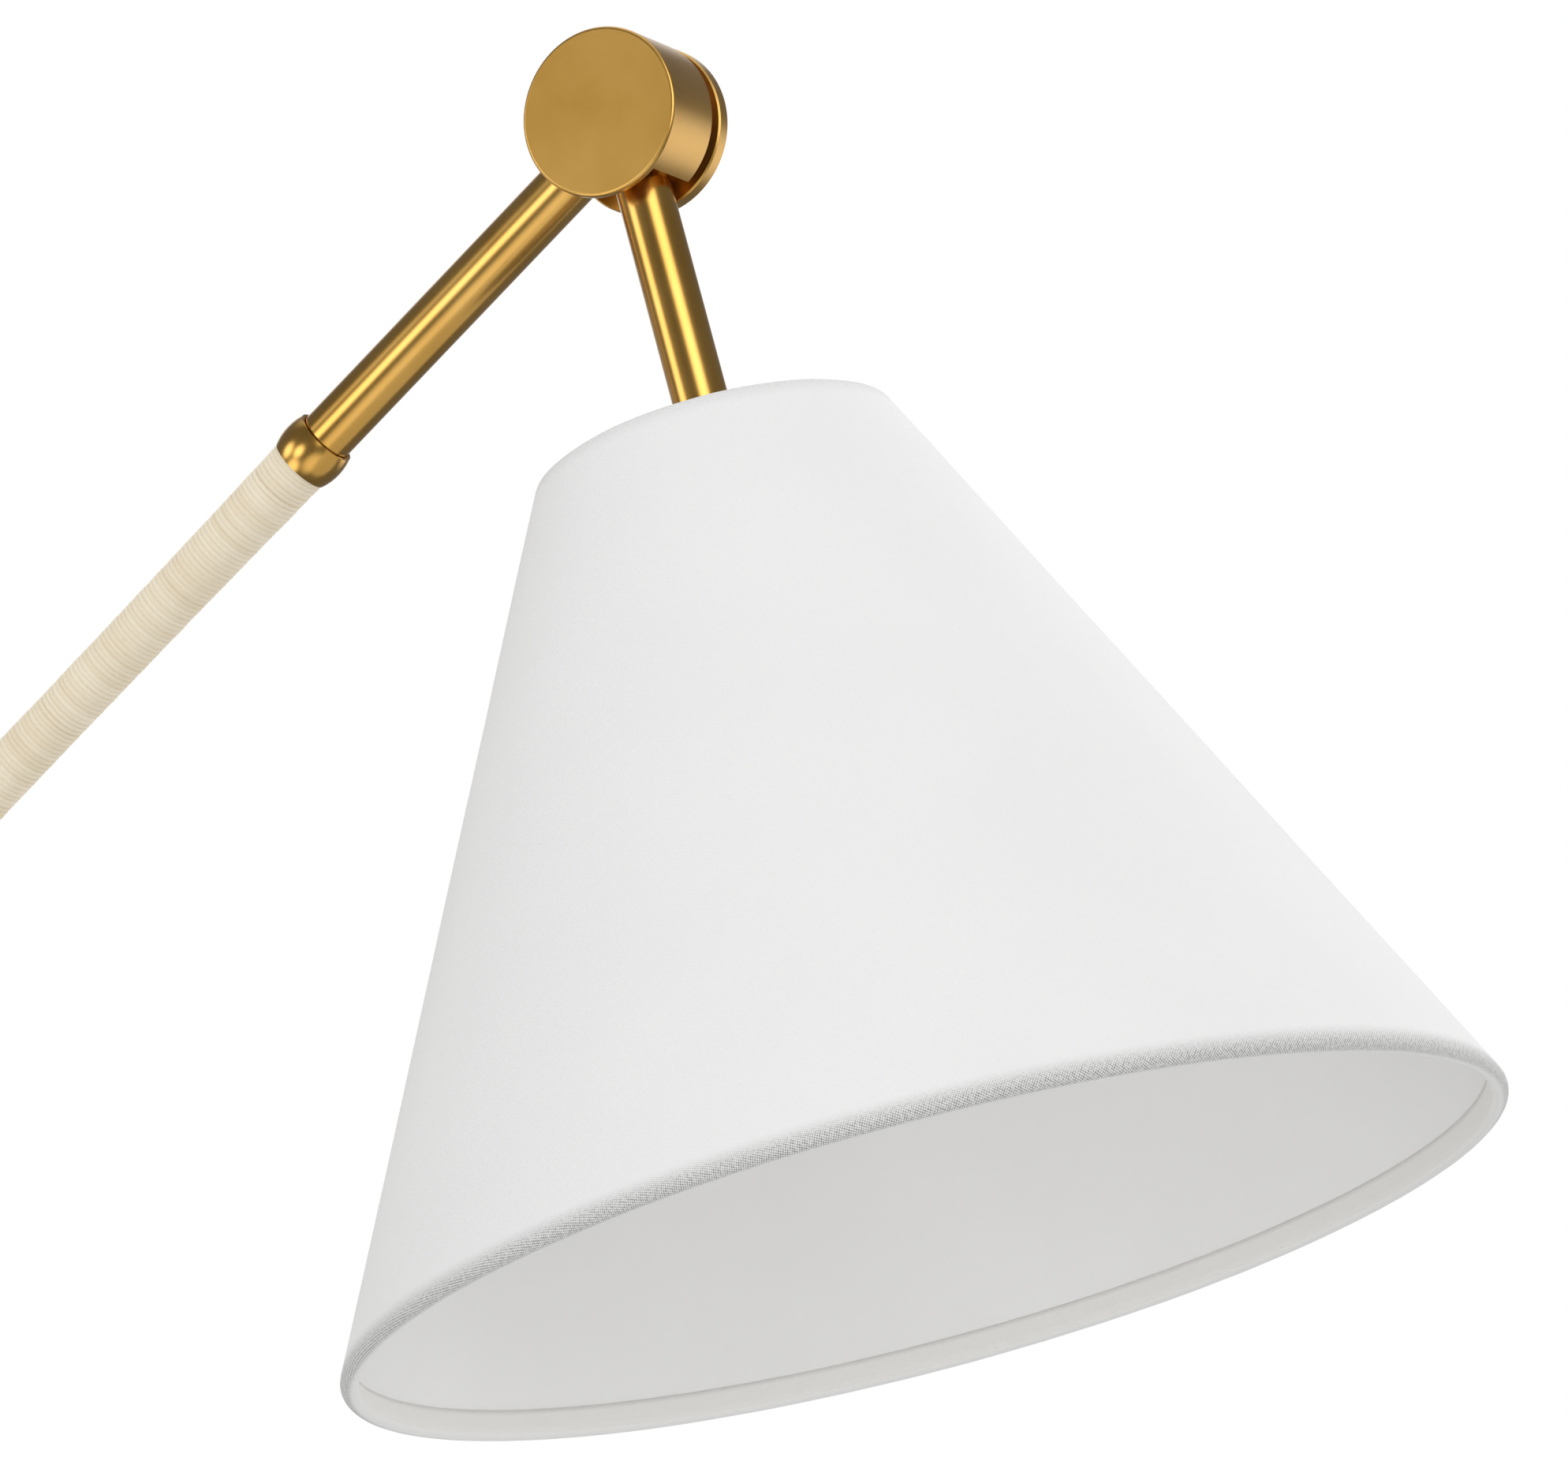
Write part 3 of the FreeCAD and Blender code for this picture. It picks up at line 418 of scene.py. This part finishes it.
def shade_linen(edges):
    """White linen whose weave stands more open where it bends over a wire, with painted shade in its gaps on the
    outside of each roll, and painted light on the turned-in cloth.

    Each edge is its distance in the cut, the way to the middle of the cloth and how strong the painted shade on
    its roll is.
    """
    graph = Finish("shade_fabric")
    coords = graph.uv_coords()
    threads, slub = weave(graph, coords)
    height = graph.blend(threads, 0.7, slub, 0.6)
    distance = graph.add("VectorMath", {0: coords}, "Value", operation="LENGTH")
    bend = 0.0
    turned_in_light = 0.0
    for edge, way, rim_shade_strength in edges:
        inward = graph.math("MULTIPLY", graph.math("SUBTRACT", edge, distance), way)
        # painted shade: strongest on the outside of the roll, fading up the cloth
        outside = graph.range(inward, 0.8 * MM, RIM_SHADE_REACH, rim_shade_strength, 0.0, smooth=True)
        inside = graph.range(inward, -0.9 * MM, 0.3 * MM, 0.0, 1.0, smooth=True)
        bend = graph.math("MAXIMUM", graph.math("MULTIPLY", outside, inside), bend)
        # painted light: the turned-in cloth is coloured lighter than the same cloth outside
        behind = graph.range(inward, -3.0 * MM, -1.2 * MM, 1.0, 0.0, smooth=True)
        turned_in_light = graph.math("MAXIMUM", behind, turned_in_light)
    gaps = graph.range(threads, 0.52, 0.92, 1.0, 0.0, smooth=True)
    cloud = graph.noise(coords, 22.0, 3.0)
    colour = graph.ramp(graph.blend(height, 0.35, cloud, 0.35), LINEN, 0.40, 0.80)
    # painted light mixed in on the turned-in cloth
    colour = graph.mix(turned_in_light, colour, LINEN_TURNED_IN_LIT)
    tufts = graph.range(graph.noise(coords, 1500.0, 2.0), 0.40, 0.62, 0.65, 1.25)
    # share of painted shade mixed into the weave's gaps along the rolled edges
    gap_shade_share = graph.math("MULTIPLY", graph.math("MULTIPLY", bend, gaps), tufts, clamp=True)
    graph.set("Base Color", graph.mix(gap_shade_share, colour, LINEN_GAP_SHADE))
    graph.set("Roughness", graph.range(height, 0.4, 1.2, 0.95, 0.80))
    graph.set("Sheen Weight", 0.25)
    graph.set("Sheen Roughness", 0.5)
    graph.set("Specular IOR Level", 0.2)
    relief = graph.math("MULTIPLY", height, graph.range(bend, 0, 1, 1.0, 2.6))
    graph.set("Normal", graph.bump(relief, 0.09 * MM, 0.5))
    return graph.material


def styrene():
    """White liner sheet: smooth, very slightly mottled, satin."""
    graph = Finish("shade_liner")
    coords = graph.object_coords()
    cloud = graph.noise(coords, 18.0, 4.0)
    fine = graph.noise(coords, 1600.0, 2.0)
    graph.set("Base Color", graph.ramp(cloud, STYRENE))
    graph.set("Roughness", graph.range(fine, 0.3, 0.7, 0.55, 0.68))
    graph.set("Normal", graph.bump(fine, 0.006 * MM, 0.5))
    return graph.material


def wound_cord():
    """Natural cotton cord: fibres along each turn and a tone that changes from turn to turn."""
    graph = Finish("grip_cord")
    coords = graph.uv_coords()
    fibres = graph.noise(graph.mapping(coords, Scale=Vector((900.0, 5200.0, 1.0))), 1.0, 3.0, 0.6)
    turns = graph.noise(graph.mapping(coords, Scale=Vector((14.0, 700.0, 1.0))), 1.0, 1.0)
    cloud = graph.noise(graph.object_coords(), 70.0, 3.0)
    tone = graph.math("ADD", graph.blend(fibres, 0.35, turns, 0.35), graph.math("MULTIPLY", cloud, 0.30))
    graph.set("Base Color", graph.ramp(tone, COTTON, 0.30, 0.66))
    graph.set("Roughness", graph.range(fibres, 0.3, 0.7, 0.90, 0.72))
    graph.set("Sheen Weight", 0.3)
    graph.set("Sheen Roughness", 0.4)
    graph.set("Specular IOR Level", 0.25)
    graph.set("Normal", graph.bump(fibres, 0.07 * MM, 0.7))
    return graph.material


def paint_cad(material, *names):
    for name in names:
        slots = nodes[name].data.materials
        slots.clear()
        slots.append(material)


def paint_brass():
    paint_cad(
        turned_brass("brass_knuckle_lower", LOWER_JOINT, AXIS_X, KNUCKLE_ROUGHNESS),
        "lower_cup", "lower_hub", "lower_cap",
    )
    paint_cad(
        turned_brass("brass_knuckle_elbow", ELBOW, AXIS_X, KNUCKLE_ROUGHNESS),
        "elbow_cup", "elbow_hub", "elbow_cap",
    )
    paint_cad(
        turned_brass("brass_arm", LOWER_JOINT, ARM, TUBE_ROUGHNESS),
        "arm_tube_lower", "arm_tube_upper", "collar_lower", "collar_upper",
    )
    paint_cad(
        turned_brass("brass_stem", ELBOW, STEM, TUBE_ROUGHNESS),
        "stem_tube", "stem_flange", "elbow_anchor", "socket_cap", "socket_shell",
    )
    paint_cad(
        turned_brass("brass_canopy", Vector((0, 0, 0)), AXIS_Y, WALL_ROUGHNESS),
        "canopy", "canopy_nuts", "post", "dimmer_knob",
    )
    paint_cad(
        turned_brass("brass_swivel", SWIVEL, AXIS_Z, WALL_ROUGHNESS),
        "swivel_base", "swivel_foot", "swivel_sleeve", "swivel_finial",
    )
    paint_cad(brushed_brass("brass_neck", AXIS_Y, NECK_ROUGHNESS), "neck_tube", "lower_anchor")
    paint_cad(brushed_brass("contact_brass", STEM, CONTACT_ROUGHNESS), "centre_contact")


def paint_the_rest():
    paint_cad(
        zinc_steel(),
        "crossbar", "ground_screw", "canopy_studs", "nipple", "nipple_locknut",
        "swivel_pin", "swivel_spring_washer", "swivel_nut",
        "lower_stud", "lower_spring_washers", "lower_nut",
        "elbow_stud", "elbow_spring_washers", "elbow_nut",
        "grip_core", "stem_nipple", "dimmer_nut", "dimmer_shaft",
    )
    paint_cad(powder_wire(), "spider_arms", "spider_hub", "shade_ring_top", "shade_ring_bottom")
    paint_cad(styrene(), "shade_liner")
    paint_cad(plain_plastic("wire_insulation", INSULATION, 0.42), "arm_wire", "stem_wire")
    paint_cad(
        plain_plastic("friction_fibre", FIBRE, 0.75, 2500.0),
        "swivel_washer", "lower_friction_washer", "elbow_friction_washer",
    )
    paint_cad(plain_plastic("moulded_black", BLACK, 0.38), "dimmer_body")
    paint_cad(plain_plastic("socket_ceramic", CERAMIC, 0.30, 300.0), "socket_block")
    paint_cad(plain_plastic("insulating_card", CARD, 0.85, 2500.0), "socket_insulator")


# ---- mesh helpers -------------------------------------------------------------------------

def spans(node, origin, axis):
    """Each vertex of a CAD node as (distance along an axis, distance from it)."""
    found = []
    for vertex in nodes[node].data.vertices:
        reach = vertex.co - origin
        height = reach.dot(axis)
        found.append((height, (reach - height * axis).length))
    return found


def extent(node, origin, axis):
    """(lowest height, highest height, smallest radius, largest radius) of a CAD node."""
    heights, radii = zip(*spans(node, origin, axis))
    return min(heights), max(heights), min(radii), max(radii)


def axis_frame(axis):
    """Two unit vectors square to an axis that lies in the lamp's middle plane."""
    return AXIS_X, axis.cross(AXIS_X).normalized()


def facing(angle, first, second):
    """Unit vector at an angle from the first of two that are square to each other."""
    return cos(angle) * first + sin(angle) * second


def closed_loop(count):
    """(row, face) of each vertex round a thin shell: down its outer face, then up its inner one."""
    return [(k, 1) for k in range(count)] + [(k, -1) for k in reversed(range(count))]


def join_columns(bm, columns, layer, cut_place):
    """Faces between neighbouring closed columns of vertices, all the way round.

    cut_place gives a corner's texture place from its column, counted on past the last, and its row.
    """
    count = len(columns[0])
    for c, left in enumerate(columns):
        right = columns[(c + 1) % len(columns)]
        for k in range(count):
            following = (k + 1) % count
            face = bm.faces.new((left[k], right[k], right[following], left[following]))
            corners = ((c, k), (c + 1, k), (c + 1, following), (c, following))
            for corner, (column, row) in zip(face.loops, corners):
                corner[layer].uv = cut_place(column, row)


def solid_mesh(bm, name):
    bmesh.ops.recalc_face_normals(bm, faces=bm.faces)
    mesh = bpy.data.meshes.new(name)
    bm.to_mesh(mesh)
    bm.free()
    return mesh


def add_piece(name, mesh, material, body):
    piece = bpy.data.objects.new(name, mesh)
    scene.collection.objects.link(piece)
    mesh.materials.append(material)
    mesh.polygons.foreach_set("use_smooth", [True] * len(mesh.polygons))
    mesh.update()
    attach(piece, body)
    return piece


# ---- shade cloth --------------------------------------------------------------------------

CLOTH = 0.6 * MM
LINER = 0.5 * MM
RING_WIRE_R = 1.2 * MM
WIRE_ROOM = 0.1 * MM         # between a ring wire and the cloth rolled round it
TURN_IN = 4.5 * MM           # cloth glued down inside each edge
FREE_EDGE = 0.12 * MM        # thickness that the turned-in edge is pressed to
LAP_WIDTH = 9.0 * MM         # where the cloth's two ends meet, on the wall's side
LAP_HEIGHT = 0.35 * MM
LAP_FADE = 2                 # rows over which the lap sinks in towards a roll
LAP_STEP = 0.12              # half the lap's step, as a share of a column
CLOTH_COLUMNS = 320
ROLL_STEPS = 12
SKIN_ROWS = 60
TURN_IN_ROWS = 4
RIPPLES = (
    # height, ripples round the shade, ripples a metre down it
    (0.10 * MM, 3.0, 28.0),
    (0.04 * MM, 26.0, 160.0),
)


def ring_centre(node):
    """(height down the stem, radius) of a ring wire's centre line."""
    low, high, inner, outer = extent(node, ELBOW, STEM)
    return Vector(((low + high) / 2, (inner + outer) / 2))


def cloth_line(top, bottom):
    """The cloth's middle line round both ring wires, as (height, radius), top turn-in first."""
    along = (bottom - top).normalized()
    out = Vector((-along.y, along.x))
    bend = RING_WIRE_R + WIRE_ROOM + CLOTH / 2
    glued = bend - LINER - (CLOTH + FREE_EDGE) / 2
    halves = []
    for centre, way in ((top, -1), (bottom, 1)):
        turns = [pi * k / ROLL_STEPS for k in range(ROLL_STEPS + 1)]
        arc = [centre + bend * (cos(turn) * out + sin(turn) * way * along) for turn in turns]
        end = centre - along * way * TURN_IN + out * glued
        inside = [arc[-1].lerp(end, k / TURN_IN_ROWS) for k in range(1, TURN_IN_ROWS + 1)]
        halves.append(arc + inside)
    first, last = halves
    skin = [first[0].lerp(last[0], k / SKIN_ROWS) for k in range(1, SKIN_ROWS)]
    return list(reversed(first)) + skin + last


def cloth_thicknesses(count):
    """Full thickness everywhere but towards the two free ends, which are pressed thin."""
    thicknesses = [CLOTH] * count
    for k in range(TURN_IN_ROWS):
        pressed = FREE_EDGE + (CLOTH - FREE_EDGE) * k / TURN_IN_ROWS
        thicknesses[k] = pressed
        thicknesses[-1 - k] = pressed
    return thicknesses


def lap_heights(count):
    """How far the lap stands out at each row: not at all on the rolls and turn-ins."""
    rolled = TURN_IN_ROWS + ROLL_STEPS
    rows_in = [min(k, count - 1 - k) - rolled for k in range(count)]
    return [LAP_HEIGHT * max(0.0, min(1.0, rows / LAP_FADE)) for rows in rows_in]


def line_normals(points):
    normals = []
    for k in range(len(points)):
        before = points[max(k - 1, 0)]
        after = points[min(k + 1, len(points) - 1)]
        along = (after - before).normalized()
        normals.append(Vector((-along.y, along.x)))
    return normals


def run_lengths(points):
    """Length along a line of points to each of them."""
    lengths = [0.0]
    for before, after in zip(points, points[1:]):
        lengths.append(lengths[-1] + (after - before).length)
    return lengths


def cloth_angles(lap_angle):
    """Column angles, with a close pair at the lap's end."""
    step = 2 * pi / CLOTH_COLUMNS
    edge = LAP_STEP * step
    angles = [k * step for k in range(CLOTH_COLUMNS)]
    angles += [lap_angle - edge, lap_angle + edge]
    return sorted(angles)


def cloth_mesh(line, distances, spread, lap_angle):
    """The cloth's line carried round the stem's axis, with the cloth's thickness, ripples and lap."""
    normals = line_normals(line)
    thicknesses = cloth_thicknesses(len(line))
    laps = lap_heights(len(line))
    loop = closed_loop(len(line))
    angles = cloth_angles(lap_angle)
    side, away = axis_frame(STEM)
    lap_start = -away            # the lap begins at the back, towards the wall
    bm = bmesh.new()
    layer = bm.loops.layers.uv.new("cut")
    columns = []
    for angle in angles:
        direction = facing(angle, lap_start, side)
        column = []
        for k, face in loop:
            shift = 0.0
            for ripple, round_count, down_count in RIPPLES:
                shift += ripple * noise.noise(direction * round_count + STEM * line[k].x * down_count)
            lap = laps[k] if angle <= lap_angle and face > 0 else 0.0
            place = line[k] + normals[k] * (face * thicknesses[k] / 2 + lap + shift)
            column.append(bm.verts.new(ELBOW + STEM * place.x + direction * place.y))
        columns.append(column)
    closed_angles = angles + [2 * pi]

    def cut_place(column, row):
        distance = distances[loop[row][0]]
        flat_angle = closed_angles[column] * spread
        return distance * sin(flat_angle), distance * cos(flat_angle)

    join_columns(bm, columns, layer, cut_place)
    return solid_mesh(bm, "shade_cloth")


def make_shade_cloth():
    """One cloth over the cone and round both ring wires, cut from a ring sector and lapped."""
    top, bottom = ring_centre("shade_ring_top"), ring_centre("shade_ring_bottom")
    line = cloth_line(top, bottom)
    lengths = run_lengths(line)
    spread = (bottom - top).normalized().y      # the cut's angle over the angle round the shade
    middle = len(line) // 2
    first_distance = line[middle].y / spread - lengths[middle]
    distances = [first_distance + length for length in lengths]     # from the ring sector's centre
    mesh = cloth_mesh(line, distances, spread, LAP_WIDTH / bottom.y)

    tip = TURN_IN_ROWS + ROLL_STEPS // 2
    linen = shade_linen((
        (distances[tip], -1.0, TOP_RIM_SHADE),
        (distances[-1 - tip], 1.0, BOTTOM_RIM_SHADE),
    ))
    cloth = add_piece("shade_cloth", mesh, linen, "shade_head")
    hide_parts("shade_skin")


# ---- wound grip ---------------------------------------------------------------------------

WINDING_PITCH = 1.15 * MM
PROFILE_STEPS = 8            # rows across one turn of cord
TURN_STEPS = 56              # columns round the grip
WAIST_RADIUS = 6.15 * MM     # of the wrap, halfway along
INSET = 0.08 * MM            # that the cord lies inside the CAD wrap
GROOVE = 0.24 * MM
LEAD_TURNS = 1.7             # turns below the grip's low end, which are cut off
SPARE_TURNS = 3
PITCH_WANDER = 0.16          # turns
TURN_SWELL = 0.07 * MM       # from one turn to another
ROUND_SWELL = 0.05 * MM      # round one turn
JOINTS_FROM_COLLAR = (7.5 * MM, 79.0 * MM)     # where a new length of cord starts
JOINT_GROOVE = 0.28 * MM
JOINT_REACH = 0.8            # turns
END_TRIM = 0.03 * MM
CUT_DISTANCE = 1e-7
RIM_DISTANCE = 2e-6


def wrap_radius(height, low, high, end_radius):
    """Outer radius of the wrap at a height: both its ends, with a shallow waist between them."""
    share = 2 * (height - low) / (high - low) - 1
    share = max(-1.0, min(1.0, share))
    return WAIST_RADIUS + (end_radius - WAIST_RADIUS) * share * share


def cord_point(i, j, wrap, around):
    """Place and texture place of row i of the turns, at column j round the grip."""
    low, high, bore, end_radius = wrap
    turn = i / PROFILE_STEPS + j / TURN_STEPS
    phase = (i % PROFILE_STEPS) / PROFILE_STEPS
    number = turn - phase
    angle = 2 * pi * j / TURN_STEPS
    wander = PITCH_WANDER * noise.noise(Vector((turn * 0.37, 3.1, 7.7)))
    height = low + (turn - LEAD_TURNS + wander) * WINDING_PITCH
    dip = 1 - sqrt(max(0.0, 1 - (2 * phase - 1) ** 2))
    depth = GROOVE
    for distance in JOINTS_FROM_COLLAR:
        off = (height - (high - distance)) / (JOINT_REACH * WINDING_PITCH)
        depth += JOINT_GROOVE * exp(-off * off)
    swell = TURN_SWELL * noise.noise(Vector((number * 0.83, 11.0, 0.4)))
    swell += ROUND_SWELL * noise.noise(Vector((number * 0.5, cos(angle), sin(angle))))
    radius = wrap_radius(height, low, high, end_radius) - INSET - depth * dip + swell
    place = LOWER_JOINT + ARM * height + facing(angle, *around) * radius
    return place, (angle * radius, turn * WINDING_PITCH)


def wind_cord(bm, wrap, around):
    """The cord's turns, as one surface that climbs a turn each time round."""
    layer = bm.loops.layers.uv.new("cord")
    turns = int((wrap[1] - wrap[0]) / WINDING_PITCH) + SPARE_TURNS
    verts = []
    uvs = []
    for i in range(turns * PROFILE_STEPS + 1):
        points = [cord_point(i, j, wrap, around) for j in range(TURN_STEPS + 1)]
        verts.append([bm.verts.new(place) for place, uv in points[:TURN_STEPS]])
        uvs.append([uv for place, uv in points])

    def vert_at(i, j):
        return verts[i][j] if j < TURN_STEPS else verts[i + PROFILE_STEPS][0]

    for i in range((turns - 1) * PROFILE_STEPS):
        for j in range(TURN_STEPS):
            corners = ((i, j), (i, j + 1), (i + 1, j + 1), (i + 1, j))
            face = bm.faces.new([vert_at(*corner) for corner in corners])
            for corner, (a, b) in zip(face.loops, corners):
                corner[layer].uv = uvs[a][b]
    loose = [vert for vert in bm.verts if not vert.link_faces]
    bmesh.ops.delete(bm, geom=loose, context="VERTS")


def bore_winding(bm, wrap, around):
    """Cut the winding square at both ends, and give it the bore that the core tube fills."""
    low, high, bore, end_radius = wrap
    rings = []
    for height, way in ((low + END_TRIM, -1), (high - END_TRIM, 1)):
        cut = LOWER_JOINT + ARM * height
        bmesh.ops.bisect_plane(
            bm, geom=[*bm.verts, *bm.edges, *bm.faces], dist=CUT_DISTANCE,
            plane_co=cut, plane_no=ARM * way, clear_outer=True,
        )
        rim = []
        for edge in bm.edges:
            offs = [abs((vert.co - LOWER_JOINT).dot(ARM) - height) for vert in edge.verts]
            if edge.is_boundary and max(offs) < RIM_DISTANCE:
                rim.append(edge)
        angles = [2 * pi * j / TURN_STEPS for j in range(TURN_STEPS)]
        ring = [bm.verts.new(cut + facing(angle, *around) * bore) for angle in angles]
        hole = [bm.edges.new((ring[j - 1], ring[j])) for j in range(TURN_STEPS)]
        bmesh.ops.triangle_fill(bm, edges=rim + hole, use_beauty=True)
        rings.append(ring)
    lower, upper = rings
    for j in range(TURN_STEPS):
        bm.faces.new((lower[j - 1], lower[j], upper[j], upper[j - 1]))


def make_winding():
    """Cord wound round the grip's core tube."""
    wrap = extent("grip_wrap", LOWER_JOINT, ARM)
    around = axis_frame(ARM)
    bm = bmesh.new()
    wind_cord(bm, wrap, around)
    bore_winding(bm, wrap, around)
    mesh = solid_mesh(bm, "grip_winding")
    winding = add_piece("grip_winding", mesh, wound_cord(), "arm")
    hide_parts("grip_wrap")


# ---- lampholder thread --------------------------------------------------------------------

CAP_THREAD_PITCH = 3.63 * MM
CAP_THREAD_DEPTH = 0.75 * MM
SHEET_BRASS = 0.35 * MM
PLAIN_END = 0.8 * MM         # of the shell, before its thread begins
THREAD_FADE = 1.6 * MM       # over which the thread comes to its full depth
THREAD_COLUMNS = 72
THREAD_ROW = 0.25 * MM


def make_screw_shell():
    """Thin brass shell with the lamp cap's rolled thread: a wave that climbs one pitch a turn."""
    low, high, inner, outer = extent("screw_shell", ELBOW, STEM)
    rows = round((high - low) / THREAD_ROW)
    loop = closed_loop(rows + 1)
    around = axis_frame(STEM)
    bm = bmesh.new()
    layer = bm.loops.layers.uv.new("shell")
    columns = []
    for c in range(THREAD_COLUMNS):
        angle = 2 * pi * c / THREAD_COLUMNS
        direction = facing(angle, *around)
        column = []
        for k, face in loop:
            height = low + (high - low) * k / rows
            from_end = min(height - low, high - height)
            share = max(0.0, min(1.0, (from_end - PLAIN_END) / THREAD_FADE))
            wave = 0.5 - 0.5 * cos(2 * pi * (height - low) / CAP_THREAD_PITCH - angle)
            skin = outer if face > 0 else outer - SHEET_BRASS
            radius = skin - CAP_THREAD_DEPTH * share * wave
            column.append(bm.verts.new(ELBOW + STEM * height + direction * radius))
        columns.append(column)

    def cut_place(column, row):
        return 2 * pi * outer * column / THREAD_COLUMNS, loop[row][0] * THREAD_ROW

    join_columns(bm, columns, layer, cut_place)
    mesh = solid_mesh(bm, "threaded_shell")
    brass = brushed_brass("shell_brass", STEM, SHELL_ROUGHNESS)
    shell = add_piece("threaded_shell", mesh, brass, "shade_head")
    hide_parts("screw_shell")


# ---- build --------------------------------------------------------------------------------

make_camera()
make_world()
for softbox in SOFTBOXES:
    make_softbox(*softbox)
make_floor()
scene.view_settings.view_transform = "Standard"

paint_brass()
paint_the_rest()
make_shade_cloth()
make_winding()
make_screw_shell()
